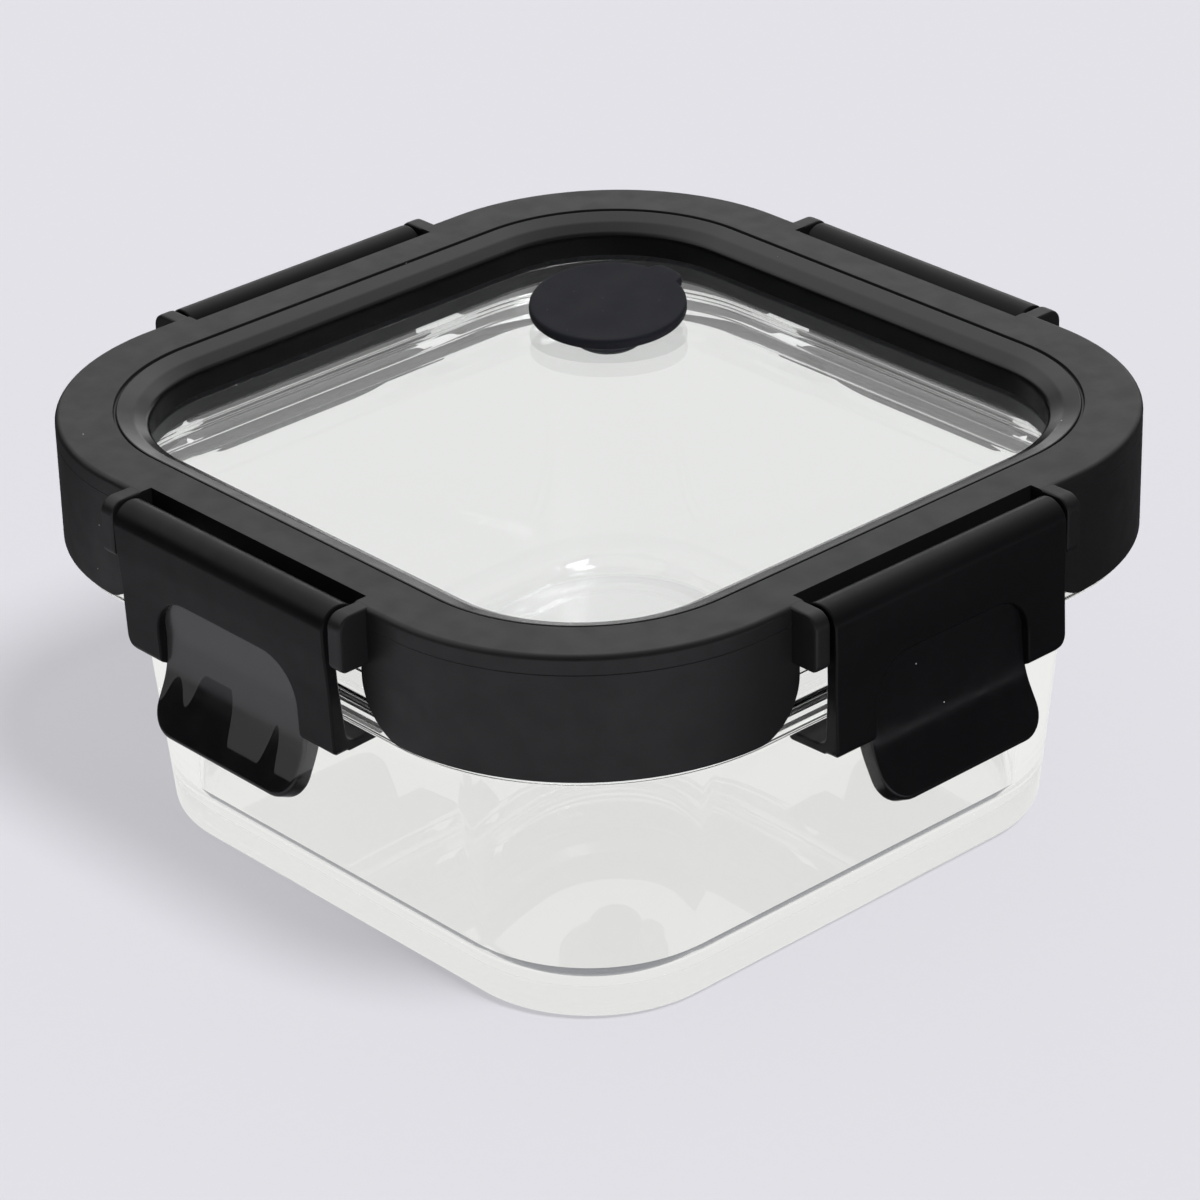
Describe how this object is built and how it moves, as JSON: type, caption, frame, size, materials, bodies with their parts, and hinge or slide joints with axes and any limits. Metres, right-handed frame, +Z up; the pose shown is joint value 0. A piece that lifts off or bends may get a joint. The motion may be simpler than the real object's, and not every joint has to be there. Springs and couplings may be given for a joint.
{
  "type": "glass storage container",
  "caption": "Square glass food container with a black clip-on lid, a glass window in the lid, a hinged latch on each side and a lift-up steam vent.",
  "frame": {"origin": "centre of the base's foot, on the surface that the container stands on", "axes": "+Z up out of the base; +X and +Y point out of the middles of two neighbouring sides, with the vent towards -X and +Y"},
  "size_m": [0.1584, 0.154, 0.069],
  "materials": {
    "base_glass": "clear pressed glass",
    "window_glass": "clear flat glass",
    "frame_plastic": "fine satin moulded polypropylene with a glossier inner border",
    "ring_plastic": "satin moulded polypropylene",
    "latch_plastic": "satin moulded polypropylene with a polished thumb recess",
    "seal_rubber": "matte silicone rubber",
    "vent_rubber": "matte silicone rubber"
  },
  "bodies": {
    "base": {"glass_base": "base_glass"},
    "lid": {"lid_frame": "frame_plastic", "retaining_ring": "ring_plastic", "lid_glass": "window_glass", "lid_seal": "seal_rubber"},
    "vent": {"vent_plug": "vent_rubber"},
    "front_latch_body": {"front_latch": "latch_plastic"},
    "right_latch_body": {"right_latch": "latch_plastic"},
    "back_latch_body": {"back_latch": "latch_plastic"},
    "left_latch_body": {"left_latch": "latch_plastic"}
  },
  "joints": [
    {"name": "lid_lift", "type": "slide", "parent": "base", "child": "lid", "axis": [0, 0, 1], "range_m": [0, 0.02]},
    {"name": "front_latch_hinge", "type": "hinge", "parent": "lid", "child": "front_latch_body", "pos_m": [0, -0.072, 0.0656], "axis": [-1, 0, 0], "range_deg": [0, 140]},
    {"name": "right_latch_hinge", "type": "hinge", "parent": "lid", "child": "right_latch_body", "pos_m": [0.072, 0, 0.0656], "axis": [0, -1, 0], "range_deg": [0, 140]},
    {"name": "back_latch_hinge", "type": "hinge", "parent": "lid", "child": "back_latch_body", "pos_m": [0, 0.072, 0.0656], "axis": [1, 0, 0], "range_deg": [0, 140]},
    {"name": "left_latch_hinge", "type": "hinge", "parent": "lid", "child": "left_latch_body", "pos_m": [-0.072, 0, 0.0656], "axis": [0, 1, 0], "range_deg": [0, 140]},
    {"name": "vent_lift", "type": "slide", "parent": "lid", "child": "vent", "axis": [0, 0, 1], "range_m": [0, 0.0015]}
  ],
  "couplings": [
    {"joint": "front_latch_hinge", "follows": "lid_lift", "rad_per_m": 122.17},
    {"joint": "right_latch_hinge", "follows": "lid_lift", "rad_per_m": 122.17},
    {"joint": "back_latch_hinge", "follows": "lid_lift", "rad_per_m": 122.17},
    {"joint": "left_latch_hinge", "follows": "lid_lift", "rad_per_m": 122.17}
  ]
}
